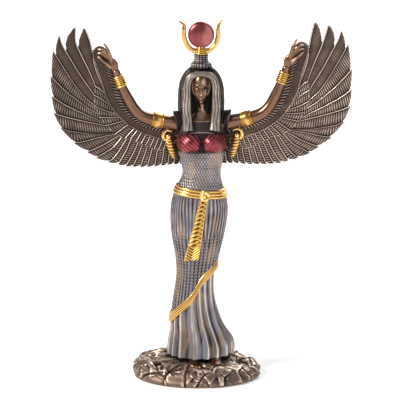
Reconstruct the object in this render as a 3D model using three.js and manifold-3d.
// A cold-cast bronze statuette of a winged goddess on a rock mound. A woman in a long pleated
// dress raises her arms along two feathered wings and carries a horned sun disc on her head.
// Millimetres, +Z up. She faces -Y, and left and right are as seen from in front of her.
// The origin is on the table, under the middle of the wings and of the mound's depth.
import * as THREE from 'three';
import { mergeVertices } from 'three/addons/utils/BufferGeometryUtils.js';
import Module from 'manifold-3d';

const wasm = await Module();
wasm.setup();

// Driving dimensions
const HEIGHT = 300;
const HALF_SPAN = 124.6;
const BASE_HALF_WIDTH = 54.4;
const BASE_HALF_DEPTH = 50;
const BASE_CENTRE_X = -3.9;
const BOND_GAP = 0.3;
const SHOULDER_TILT = THREE.MathUtils.degToRad(1.3);

// Heights of the main features
const PLUG_BOTTOM_Z = 9.6;
const ROCK_TOP_Z = 14;
const HEM_Z = 18.5;
const BELT_Z = 157.4;
const BUST_Z = 199.5;
const TILT_Z = 245;
const HEAD_Z = 243;
const MODIUS_BOTTOM_Z = 259.5;
const MODIUS_TOP_Z = 270;
const DISC_Z = 286.2;

const { lerp, smoothstep, clamp } = THREE.MathUtils;
const vec = (x, y, z) => new THREE.Vector3(x, y, z);
const DEPTHWISE = vec(0, 1, 0);

// Helpers for shaping

// Takes a closed three.js primitive and moves each of its vertices to place(vertex).
function form(primitive, place) {
  primitive.deleteAttribute('normal');
  primitive.deleteAttribute('uv');
  const shape = mergeVertices(primitive, 1e-5);
  const spots = shape.getAttribute('position');
  const spot = vec(0, 0, 0);
  for (let i = 0; i < spots.count; i++) {
    const placed = place(spot.fromBufferAttribute(spots, i));
    spots.setXYZ(i, placed.x, placed.y, placed.z);
  }
  return shape;
}

// Makes a manifold solid of a closed geometry, turned so that its faces point out.
function solid(geometry) {
  const corners = geometry.index.array;
  const spots = geometry.getAttribute('position').array;
  const make = (triVerts) => new wasm.Manifold(
    new wasm.Mesh({ numProp: 3, vertProperties: spots, triVerts }),
  );
  const made = make(new Uint32Array(corners));
  return made.volume() > 0 ? made : make(new Uint32Array(corners).reverse());
}

const join = (geometries) => geometries.map(solid).reduce((whole, piece) => whole.add(piece));

// Rows of numbers whose first is a height give a smooth row at any height between them.
function profile(rows) {
  const heights = rows.map((row) => row[0]);
  const slope = (i, k) => {
    const before = rows[Math.max(i - 1, 0)];
    const after = rows[Math.min(i + 1, rows.length - 1)];
    return (after[k] - before[k]) / (after[0] - before[0]);
  };
  return (z) => {
    const level = clamp(z, heights[0], heights.at(-1));
    const i = clamp(heights.filter((height) => height <= level).length - 1, 0, rows.length - 2);
    const span = heights[i + 1] - heights[i];
    const t = (level - heights[i]) / span;
    return rows[i].map((value, k) => {
      const rise = (rows[i + 1][k] - value) * t * t * (3 - 2 * t);
      const bend = slope(i, k) * t * (1 - t) ** 2 - slope(i + 1, k) * t * t * (1 - t);
      return value + rise + bend * span;
    });
  };
}

// A point on an upright column's wall. A row is height, centre x, y, half width, front, back.
function wallPoint(section, z, angle) {
  const [, x, y, half, front, back] = section(z);
  const reach = Math.sin(angle) < 0 ? front : back;
  return vec(x + half * Math.cos(angle), y + reach * Math.sin(angle), z);
}

// A closed upright column with a ring of points at each level; carve(wall, angle) shapes it.
function column(rows, levels, sides, carve = (wall) => wall) {
  const section = profile(rows);
  const bands = levels.length - 1;
  return form(new THREE.CylinderGeometry(1, 1, 1, sides, bands), (v) => {
    const z = levels[Math.round((v.y + 0.5) * bands)];
    const angle = Math.atan2(v.z, v.x);
    const [, x, y] = section(z);
    const wall = carve(wallPoint(section, z, angle), angle);
    return vec(x, y, wall.z).lerp(wall, Math.hypot(v.x, v.z));
  });
}

// A round limb along a smooth path, with one radius for each of the path's points.
function limb(points, radii, sides, bands, flatness = 1) {
  const path = new THREE.CatmullRomCurve3(points, false, 'catmullrom', 0.5);
  return form(new THREE.CylinderGeometry(1, 1, 1, sides, bands), (v) => {
    const t = clamp(v.y + 0.5, 0, 1);
    const at = t * (radii.length - 1);
    const i = Math.min(Math.floor(at), radii.length - 2);
    const radius = lerp(radii[i], radii[i + 1], at - i);
    const along = path.getTangent(t);
    const side = DEPTHWISE.clone().cross(along).normalize();
    const face = along.clone().cross(side);
    return path.getPoint(t)
      .addScaledVector(side, v.x * radius)
      .addScaledVector(face, v.z * radius * flatness);
  });
}

// An ellipsoid with its poles at the top and the bottom.
const ball = (centre, wide, deep, high, across, down) => form(
  new THREE.SphereGeometry(1, across, down),
  (v) => vec(centre.x + v.x * wide, centre.y + v.z * deep, centre.z + v.y * high),
);

// Her arms and wings are shaped for the right side, and this places them on either side
// (side is 1 or -1) with the slight tilt of her shoulders.
function onSide(side, geometry) {
  geometry.scale(side, 1, 1);
  geometry.translate(0, 0, -TILT_Z);
  geometry.rotateY(-SHOULDER_TILT);
  return geometry.translate(0, 0, TILT_Z);
}

// Dressed body

// Rows are height, centre x, centre y, half width, depth in front, depth behind.
const BODY_ROWS = [
  [HEM_Z, -1.6, 2, 27.2, 27, 30],
  [28, -1.4, 2, 26.4, 25, 27.5],
  [38.7, -2.9, 1, 23.2, 21, 23],
  [48, -4.8, 0, 21, 18.5, 19],
  [64.5, -6, 0, 17.8, 16.5, 15.5],
  [85, -5, 0, 15.9, 15.5, 14],
  [100.5, -3.7, 0, 17.9, 16.5, 15.5],
  [121, -2.9, 0, 22, 17.5, 18],
  [138, -2, 0, 23.7, 16.6, 20],
  [151.5, -1.6, 0, 22.3, 16, 18.5],
  [161, -1.2, 0, 18.8, 14.5, 15],
  [171, 0, -0.6, 15.7, 12.6, 11.4],
  [180, 0.2, 0, 16.8, 12.6, 11.5],
  [190, 0.2, 0, 19.6, 12.6, 12],
  [200, 0, 0, 21, 12.2, 12.3],
  [209, 0, 0, 20.5, 11, 12],
  [216, 0, 0.5, 16.5, 9.5, 10.5],
  [221, 0, 1, 9, 7.5, 8.5],
  [225, 0, 1, 6, 6, 6.5],
  [234, -0.3, 0, 5.4, 5.6, 6],
];
const BODY_LEVELS = [
  HEM_Z, 27, 38, 52, 67, 83, 99, 116, 133, 147, 160, 171, 182, 189, 194, 198, 202, 207, 213, 219,
  225, 234,
];
const BODY_SIDES = 30;
const PLEATS = BODY_SIDES / 2;
const PLEAT_DEPTH = 1.5;
const PLEAT_TOP_Z = 92;
const BUST_REACH = 6.6;
const BUST_X = 10.3;
const BUST_SIZE = 5.6;
const TRAIN = { reach: 8, angle: 0.68, narrowness: 12, top: 46 };
const bodySection = profile(BODY_ROWS);

// Pleats open towards the hem, the train spreads behind her, and the bust comes forward.
function carveBody(wall, angle) {
  const wave = Math.cos(PLEATS * (angle - Math.PI / 2));
  const pleat = PLEAT_DEPTH * (1 - smoothstep(wall.z, HEM_Z, PLEAT_TOP_Z)) * wave;
  const spread = Math.max(0, Math.cos(angle - TRAIN.angle)) ** TRAIN.narrowness;
  const train = TRAIN.reach * spread * (1 - smoothstep(wall.z, HEM_Z, TRAIN.top));
  const out = pleat + train;
  wall.x += out * Math.cos(angle);
  wall.y += out * Math.sin(angle);
  if (Math.sin(angle) < 0) {
    const away = Math.hypot(Math.abs(wall.x) - BUST_X, wall.z - BUST_Z);
    wall.y -= BUST_REACH * Math.exp(-((away / BUST_SIZE) ** 2) / 2);
  }
  return wall;
}

// How far forward the dress reaches at a place seen from in front.
function dressFront(x, z) {
  const [, centre, y, half, front] = bodySection(z);
  return y - front * Math.sqrt(Math.max(0, 1 - ((x - centre) / half) ** 2));
}

// A raised band round the dress. heightAt(wall) gives the height of its middle at each point.
function band(heightAt, halfHeight, thickness, steps) {
  return form(new THREE.TorusGeometry(2, 1, 3, steps), (v) => {
    const angle = Math.atan2(v.y, v.x);
    let wall = wallPoint(bodySection, heightAt(vec(0, 0, 0)), angle);
    for (let i = 0; i < 12; i++) wall = wallPoint(bodySection, heightAt(wall), angle);
    const out = thickness * (Math.hypot(v.x, v.y) - 2);
    return vec(wall.x + out * Math.cos(angle), wall.y + out * Math.sin(angle), wall.z + halfHeight * v.z);
  });
}

// The belt dips in front and to the right, with a knot at its lowest place.
const BELT = { halfHeight: 4, thickness: 1.5, drop: 0.09 };
const beltHeight = (wall) => BELT_Z - BELT.drop * (wall.x + Math.max(0, -wall.y));
const KNOT = { x: 2.4, z: 155.2 };

// The overskirt's hem falls from the right knee to the left ankle. Its rows are x and height.
const WRAP = { halfHeight: 4.4, thickness: 2.3 };
const WRAP_FALL = profile([[-26, 48], [-20, 56], [-8, 68.8], [-0.5, 82], [10.3, 93.3], [12, 95]]);
const wrapHeight = (wall) => WRAP_FALL(wall.x)[1];

// The sash hangs from the knot and widens downwards.
const SASH = { endX: -8.4, endZ: 100.8, halfTop: 3, halfEnd: 6.2, thickness: 2 };

function sash() {
  return form(new THREE.BoxGeometry(2, 1, 2, 2, 6, 1), (v) => {
    const t = 0.5 - v.y;
    const x = lerp(KNOT.x, SASH.endX, t) + v.x * lerp(SASH.halfTop, SASH.halfEnd, t);
    const z = lerp(KNOT.z, SASH.endZ, t) + v.x * t;
    return vec(x, dressFront(x, z) - SASH.thickness * v.z, z);
  });
}

// A plug under the hem stands in the rock, and the toes come out in front of it.
const PLUG_ROWS = [
  [PLUG_BOTTOM_Z, -1.5, 2, 24, 22, 25],
  [HEM_Z + 1, -1.5, 2, 26, 24, 27],
];
const FOOT = { halfWidth: 7.2, halfLength: 12, halfHeight: 4.6, y: -21.5, z: 13.4 };
const FEET_X = [-5.9, 11];

// A foot is broad and low at the toes, and higher at the instep.
const foot = (x) => form(new THREE.SphereGeometry(1, 8, 5), (v) => {
  const toes = Math.max(0, v.z);
  return vec(
    x + v.x * (FOOT.halfWidth + toes),
    FOOT.y - v.z * FOOT.halfLength,
    FOOT.z + v.y * (FOOT.halfHeight - toes),
  );
});

// Head, wig and headdress

const HEAD = { x: -0.3, y: -2.4, halfWidth: 8.6, halfDepth: 10.4, halfHeight: 14 };
const FACE = { nose: 1.9, sockets: 0.8, chin: 1, jaw: 0.3, taper: 0.12, fullness: 2.5 };

// A full egg that narrows to the chin, with a nose and shallow hollows for the eyes.
const head = () => form(new THREE.SphereGeometry(1, 16, 10), (v) => {
  const ring = Math.hypot(v.x, v.z);
  const full = (1 - Math.abs(v.y) ** FACE.fullness) ** (1 / FACE.fullness) / Math.max(ring, 0.01);
  const below = smoothstep(-v.y, 0, 1);
  const ahead = smoothstep(v.z, 0.3, 0.9);
  const nose = Math.exp(-((v.x / 0.2) ** 2) - ((v.y + 0.3) / 0.16) ** 2);
  const eyes = Math.exp(-(((Math.abs(v.x) - 0.4) / 0.2) ** 2) - (v.y / 0.14) ** 2);
  const chin = Math.exp(-((v.x / 0.25) ** 2) - ((v.y + 0.84) / 0.12) ** 2);
  const relief = ahead * (FACE.nose * nose - FACE.sockets * eyes)
    + smoothstep(v.z, 0, 0.4) * FACE.chin * chin;
  return vec(
    HEAD.x + v.x * full * HEAD.halfWidth * (1 - FACE.jaw * below),
    HEAD.y - v.z * full * HEAD.halfDepth * (1 - FACE.taper * below) - relief,
    HEAD_Z + v.y * HEAD.halfHeight,
  );
});

// The wig frames the face and falls behind the shoulders to her upper back.
const WIG_ROWS = [
  [199, -0.3, 2, 14, 3, 13.2],
  [207, -0.3, 2, 15.4, 4, 13.8],
  [215, -0.3, 2, 17, 5, 14],
  [224, -0.3, 2, 18.8, 7, 14.2],
  [234, -0.3, 2, 19.2, 7.5, 14.5],
  [243, -0.3, 2, 18.4, 8, 14.6],
  [250, -0.3, 2, 16.4, 9, 13.8],
  [256, -0.3, 1.5, 12.8, 9, 11.6],
  [259.6, -0.3, 1, 8.6, 7, 8.4],
  [261.5, -0.3, 1, 3.6, 3.4, 3.6],
];
const WIG_LEVELS = [199, 213, 228, 241, 250, 256, 260, 261.5];

// Two front locks part over the brow, frame the face and hang to the bust with square ends.
const LAPPET = [
  vec(0.4, -8.6, 256.4), vec(6.8, -9.4, 254.6), vec(11.2, -9.8, 247), vec(12, -10, 238),
  vec(11.9, -9.8, 227), vec(11.8, -10.4, 217), vec(11.7, -12.8, 208.8),
];
const LAPPET_RADII = [2.4, 3, 3.5, 3.6, 3.7, 3.8, 4.1];
const LAPPET_FLATNESS = 0.6;

const MODIUS_AXIS = vec(-0.3, 0.5, 0);
const modiusRow = (z, radius) => [z, MODIUS_AXIS.x, MODIUS_AXIS.y, radius, radius, radius];
const MODIUS_ROWS = [
  modiusRow(MODIUS_BOTTOM_Z, 8.6),
  modiusRow(262.6, 8),
  modiusRow(264.4, 6),
  modiusRow(267, 5.4),
  modiusRow(MODIUS_TOP_Z, 5.8),
];
const COBRAS = { count: 7, reach: 0.9, top: 265 };

// Rearing cobras ring the foot of the modius.
function carveModius(wall, angle) {
  const wave = Math.cos(COBRAS.count * (angle - Math.PI / 2));
  const out = wall.z > COBRAS.top ? 0 : COBRAS.reach * wave;
  wall.x += out * Math.cos(angle);
  wall.y += out * Math.sin(angle);
  return wall;
}

// Raised arms

const ARM = [
  vec(14, 0, 212), vec(26, -1.6, 214.6), vec(37, -3.6, 216.8), vec(48.4, -4.8, 220.6),
  vec(55.2, -5.4, 226.8), vec(60.6, -5.8, 236.4), vec(65, -6.2, 246), vec(68, -6.4, 254),
  vec(70, -6.5, 260),
];
const ARM_RADII = [6.2, 5.6, 5.3, 4.9, 4.5, 4.3, 3.7, 3.2, 3.1];
const ARMBAND = [vec(32.6, -2.8, 215.8), vec(36.5, -3.5, 216.7), vec(41, -4, 218)];
const ARMBAND_RADII = [6.2, 6.6, 6.2];
const WRISTBAND = [vec(65, -6.2, 246), vec(66.8, -6.3, 250.6), vec(68.4, -6.4, 255)];
const WRISTBAND_RADII = [5, 4.8, 4.6];
const PALM = [vec(69.6, -6.5, 258.5), vec(71.4, -6.8, 264), vec(73.4, -7, 269.5)];
const PALM_RADII = [3.2, 4.2, 3.2];
const FINGERS = [
  [vec(72.4, -7.6, 266.5), vec(74.2, -8.6, 273), vec(76, -8.4, 278), vec(79.2, -7.6, 282.4)],
  [vec(73.6, -7, 267), vec(77, -8.2, 273.2), vec(80.6, -8, 276.6), vec(84.6, -6.6, 276.8)],
  [vec(74.2, -6.4, 266.4), vec(77.6, -7.2, 271), vec(81, -7, 273.6), vec(84.6, -6, 273.6)],
  [vec(72.8, -7.6, 261.5), vec(76.2, -9, 264.8), vec(80.4, -8.4, 268.6), vec(84.4, -6.6, 271.4)],
];
const FINGER_RADII = [1.7, 1.5, 1.3, 0.8];

// A flared cap sleeve ends past the shoulder, and its mouth slants down towards the bust.
const SLEEVE = [vec(9, 0.6, 215.6), vec(15.6, 0.2, 216), vec(22.4, -0.4, 214.8)];
const SLEEVE_RADII = [6.4, 7.2, 9.4];

// The arm on one side, thickened all over by the clearance.
function arm(side, clearance) {
  const grown = (radii) => radii.map((radius) => radius + clearance);
  return [
    limb(ARM, grown(ARM_RADII), 8, 8),
    limb(ARMBAND, grown(ARMBAND_RADII), 8, 1),
    limb(WRISTBAND, grown(WRISTBAND_RADII), 8, 1),
    limb(PALM, grown(PALM_RADII), 6, 2, 0.62),
    limb(SLEEVE, grown(SLEEVE_RADII), 10, 1, 0.86),
    ...FINGERS.map((finger) => limb(finger, grown(FINGER_RADII), 4, 2)),
  ].map((geometry) => onSide(side, geometry));
}

// Rows of a column, with its wall moved out by the clearance.
const widened = (rows, clearance) => rows.map(
  ([z, x, y, ...reach]) => [z, x, y, ...reach.map((length) => length + clearance)],
);

// The body and the wig, thickened all round by the clearance.
const trunk = (clearance) => [
  column(widened(BODY_ROWS, clearance), BODY_LEVELS, BODY_SIDES, carveBody),
  column(widened(WIG_ROWS, clearance), WIG_LEVELS, 16),
];

// The part of her that stands in the rock, thickened all over by the clearance.
function footing(clearance) {
  const rows = widened(PLUG_ROWS, clearance);
  rows[0][0] -= clearance;
  const growth = 1 + clearance / FOOT.halfHeight;
  const feet = FEET_X.map((x) => foot(x)
    .translate(-x, -FOOT.y, -FOOT.z)
    .scale(growth, growth, growth)
    .translate(x, FOOT.y, FOOT.z));
  return [column(rows, rows.map((row) => row[0]), 12), ...feet];
}

function figure() {
  const lappet = () => limb(LAPPET, LAPPET_RADII, 6, 7, LAPPET_FLATNESS);
  return join([
    ...trunk(0),
    ...footing(0),
    band(beltHeight, BELT.halfHeight, BELT.thickness, 18),
    band(wrapHeight, WRAP.halfHeight, WRAP.thickness, 18),
    sash(),
    ball(vec(KNOT.x, dressFront(KNOT.x, KNOT.z) - 1, KNOT.z), 4.2, 2.6, 3.8, 7, 5),
    head(),
    lappet(),
    lappet().scale(-1, 1, 1),
    column(MODIUS_ROWS, MODIUS_ROWS.map((row) => row[0]), 2 * COBRAS.count, carveModius),
    ...arm(1, 0),
    ...arm(-1, 0),
  ]);
}

// Wings

// Rows are distance from the middle and depth: a wing sweeps forward from her back to its tip.
const WING_SWEEP = profile([
  [8, 11], [14, 9.4], [22, 7.2], [32, 4.8], [48, 2.6], [72, 0], [HALF_SPAN, -7],
]);
const wingDepth = (x) => WING_SWEEP(x)[1];

// The flight feathers fan from their roots' line to their tips' line, and bow downwards.
const ROOTS = [
  vec(73, 0, 245), vec(74, 0, 235), vec(69, 0, 229), vec(62.4, 0, 221), vec(55.4, 0, 213.6),
  vec(47, 0, 208), vec(37, 0, 204), vec(26.4, 0, 202), vec(14.5, 0, 200.6),
];
const TIPS = [
  vec(86.5, 0, 288), vec(117.5, 0, 284), vec(HALF_SPAN, 0, 255.5), vec(121.6, 0, 229),
  vec(108.6, 0, 206), vec(88.4, 0, 188.8), vec(66, 0, 180.8), vec(41, 0, 178.6), vec(15.5, 0, 177.4),
];
const OPEN_TIPS = [vec(91.8, 0, 295.6), vec(101.2, 0, 295.2), vec(113, 0, 290.4)];
const FEATHERS = 20;
const NOTCH = 1.8;
const OPEN_NOTCH = 11;
const BOW = 14;
const COVERT_SHARE = 0.38;
const QUILL_RIDGE = 0.8;
const FURROW = 0.3;
const COVERT_STEP = 0.9;
const HALF_VANE = 1;

// Rows across the fan: where each lies between root and tip, and whether it is on the coverts.
const fanRows = (share) => {
  const covert = COVERT_SHARE * smoothstep(share, 0, 0.22);
  return [[0, 1], [covert, 1], [covert + 0.04, 0], [(1 + covert) / 2, 0], [1, 0]];
};

// The fan is one sheet. Each feather takes two columns: its shaft's ridge, and a furrow.
function fan() {
  const columns = 2 * FEATHERS;
  const roots = new THREE.CatmullRomCurve3(ROOTS);
  const tips = new THREE.CatmullRomCurve3(TIPS);
  return form(new THREE.BoxGeometry(1, 1, 2, columns, fanRows(0).length - 1, 1), (v) => {
    const at = Math.round((v.x + 0.5) * columns);
    const onShaft = at % 2 === 1;
    const share = (at - (onShaft ? 0.2 : 0)) / columns;
    const rows = fanRows(share);
    const [t, onCovert] = rows[Math.round((v.y + 0.5) * (rows.length - 1))];
    const root = roots.getPoint(share);
    const tip = (onShaft && OPEN_TIPS[(at - 1) / 2]) || tips.getPoint(share);
    const chord = tip.clone().sub(root);
    const open = at > 0 && at < 2 * OPEN_TIPS.length;
    const end = onShaft ? 1 : 1 - (open ? OPEN_NOTCH : NOTCH) / chord.length();
    const bow = BOW * Math.sin(Math.PI * clamp(0.15 + 1.15 * share, 0, 1));
    const aside = vec(chord.z, 0, -chord.x).setLength(1);
    const control = root.clone().lerp(tip, 0.5).addScaledVector(aside, bow);
    const spot = new THREE.QuadraticBezierCurve3(root, control, tip).getPoint(t * end);
    const relief = (onShaft ? QUILL_RIDGE : -FURROW) + onCovert * COVERT_STEP;
    spot.y = wingDepth(spot.x) - v.z * (HALF_VANE + relief);
    return spot;
  });
}

// The strip of lesser coverts lies along the arm, from her back to the hand.
const STRIP = {
  path: [
    vec(14, 0, 203), vec(32, 0, 205), vec(46, 0, 209.6), vec(58, 0, 218), vec(66.6, 0, 230),
    vec(72.6, 0, 246), vec(78, 0, 262), vec(83.4, 0, 276),
  ],
  halfWidth: 6.4,
  halfThickness: 3,
};

function lesserCoverts() {
  const path = new THREE.CatmullRomCurve3(STRIP.path);
  return form(new THREE.BoxGeometry(2, 1, 2, 2, 10, 1), (v) => {
    const t = v.y + 0.5;
    const along = path.getTangent(t);
    const width = STRIP.halfWidth * (1 - 0.5 * smoothstep(t, 0.75, 1));
    const spot = path.getPoint(t).addScaledVector(vec(-along.z, 0, along.x), v.x * width);
    spot.y = wingDepth(spot.x) - v.z * STRIP.halfThickness * (1 - 0.3 * Math.abs(v.x));
    return spot;
  });
}

// A gilt cord knot hangs below the armpit: a curl over a round boss, and a plaited tail.
const CURL = [vec(24.6, 2, 206.4), vec(30, 1, 207.4), vec(32.6, 0.6, 203), vec(30.4, 1, 198.6)];
const CURL_RADII = [1.1, 1.7, 1.7, 1.2];
const TAIL = [vec(28.2, 1.8, 202.4), vec(27.4, 1.4, 196.8), vec(25.4, 2.4, 189.6), vec(24, 3.8, 183.6)];
const TAIL_RADII = [2.4, 3.1, 2.7, 1.4];
const BOSS = { centre: vec(28, -0.4, 202.4), radius: 2.4 };

const cordKnot = () => [
  limb(CURL, CURL_RADII, 5, 5),
  limb(TAIL, TAIL_RADII, 6, 4),
  ball(BOSS.centre, BOSS.radius, BOSS.radius, BOSS.radius, 7, 5),
];

function wing(side) {
  const parts = [fan(), lesserCoverts(), ...cordKnot()];
  const bed = join([...trunk(BOND_GAP), ...arm(side, BOND_GAP)]);
  return join(parts.map((geometry) => onSide(side, geometry))).subtract(bed);
}

// Horned sun disc

const DISC = { radius: 10.9, halfThickness: 4.6 };
const crownPoint = (x, z) => vec(MODIUS_AXIS.x + x, MODIUS_AXIS.y, z);
const STEM = [[MODIUS_TOP_Z + BOND_GAP, 5], [272, 4.4], [276.4, 3]];
const HORN = [[0, 272.6], [6.8, 273.5], [11.7, 278], [13.9, 285], [14, 290.4]];
const RIGHT_TIP = [[14.9, 295.2], [17.4, HEIGHT - 0.5]];
const LEFT_TIP = [[14.2, 294.6], [18.6, HEIGHT - 2.4]];
const HORN_RADII = [2.4, 2.2, 2.1, 2, 1.8, 1.3, 0.7];

function horn(side, tip) {
  const points = [...HORN, ...tip].map(([x, z]) => crownPoint(side * x, z));
  return limb(points, HORN_RADII, 5, 11);
}

function hornedDisc() {
  const stem = STEM.map(([z, radius]) => modiusRow(z, radius));
  return join([
    column(stem, stem.map((row) => row[0]), 10),
    horn(1, RIGHT_TIP),
    horn(-1, LEFT_TIP),
    ball(crownPoint(0, DISC_Z), DISC.radius, DISC.halfThickness, DISC.radius, 14, 9),
  ]);
}

// Rock mound

// Rows are height, centre x, centre y, half width, depth in front, depth behind.
const ROCK_ROWS = [
  [0, BASE_CENTRE_X, 0, BASE_HALF_WIDTH - 1.4, BASE_HALF_DEPTH - 1.4, BASE_HALF_DEPTH - 1.4],
  [4, BASE_CENTRE_X, 0, BASE_HALF_WIDTH, BASE_HALF_DEPTH, BASE_HALF_DEPTH],
  [8, BASE_CENTRE_X, 0, BASE_HALF_WIDTH - 1.6, BASE_HALF_DEPTH - 3.4, BASE_HALF_DEPTH - 2.4],
  [12.4, BASE_CENTRE_X, 0, 47, 42, 45],
  [ROCK_TOP_Z, BASE_CENTRE_X, 0, 34, 31, 34],
];
const ROCK_LEVELS = [0, 4, 8, 12.4, ROCK_TOP_Z];
const ROCK_LEAN = 0.025;

// A few waves round the mound, out of step with each other at each level.
function carveRock(wall, angle) {
  const rise = smoothstep(wall.z, 2, 8);
  const wave = Math.sin(7 * angle + wall.z) + Math.sin(11 * angle - 0.8 * wall.z);
  const out = rise * (1.1 * wave - 1.2);
  wall.x += out * Math.cos(angle);
  wall.y += out * Math.sin(angle);
  wall.z += rise * (0.7 * Math.sin(5 * angle + 1.4) - ROCK_LEAN * (wall.x - BASE_CENTRE_X));
  return wall;
}

// Angular blocks break out of the mound round its rim, each turned and tilted its own way.
const BLOCKS = { count: 7, share: 0.7, z: 9.5, tilt: 0.26 };
const BLOCK = { halfLength: 13, halfWidth: 8.2, top: 4.2, bottom: -2, taper: 0.62 };

function block(k) {
  const around = 2 * Math.PI * (k + 0.3) / BLOCKS.count;
  const geometry = form(new THREE.BoxGeometry(2, 2, 2), (v) => {
    const size = v.z > 0 ? BLOCK.taper : 1;
    const z = v.z > 0 ? BLOCK.top : BLOCK.bottom;
    return vec(v.x * size * BLOCK.halfLength, v.y * size * BLOCK.halfWidth, z);
  });
  geometry.rotateX(BLOCKS.tilt * Math.sin(2.1 * k));
  geometry.rotateY(BLOCKS.tilt * Math.cos(3.7 * k));
  geometry.rotateZ(around + Math.PI / 2 + 0.7 * Math.sin(5.3 * k));
  const x = BLOCKS.share * BASE_HALF_WIDTH * Math.cos(around);
  const y = BLOCKS.share * BASE_HALF_DEPTH * Math.sin(around);
  return geometry.translate(BASE_CENTRE_X + x, y, BLOCKS.z - ROCK_LEAN * x);
}

function rockBase() {
  const blocks = Array.from({ length: BLOCKS.count }, (_, k) => block(k));
  const mound = join([column(ROCK_ROWS, ROCK_LEVELS, 20, carveRock), ...blocks]);
  return mound.subtract(join(footing(BOND_GAP)));
}

// Finishes and the finished group

const finish = (red, green, blue, roughness, metalness) => new THREE.MeshStandardMaterial({
  color: new THREE.Color(red, green, blue), roughness, metalness,
});
const FINISHES = {
  bronze: finish(0.36, 0.29, 0.26, 0.42, 0.8),
  darkBronze: finish(0.25, 0.2, 0.18, 0.45, 0.8),
  gilt: finish(0.72, 0.47, 0.13, 0.35, 0.9),
  rockBronze: finish(0.38, 0.3, 0.24, 0.5, 0.75),
};

function named(name, body, material) {
  const { vertProperties, triVerts } = body.getMesh();
  const geometry = new THREE.BufferGeometry();
  geometry.setAttribute('position', new THREE.BufferAttribute(vertProperties, 3));
  geometry.setIndex(new THREE.BufferAttribute(triVerts, 1));
  const mesh = new THREE.Mesh(geometry, material);
  mesh.name = name;
  return mesh;
}

const statuette = new THREE.Group();
statuette.add(
  named('figure', figure(), FINISHES.bronze),
  named('left_wing', wing(-1), FINISHES.darkBronze),
  named('right_wing', wing(1), FINISHES.darkBronze),
  named('horned_sun_disc', hornedDisc(), FINISHES.gilt),
  named('rock_base', rockBase(), FINISHES.rockBronze),
);

export default statuette;
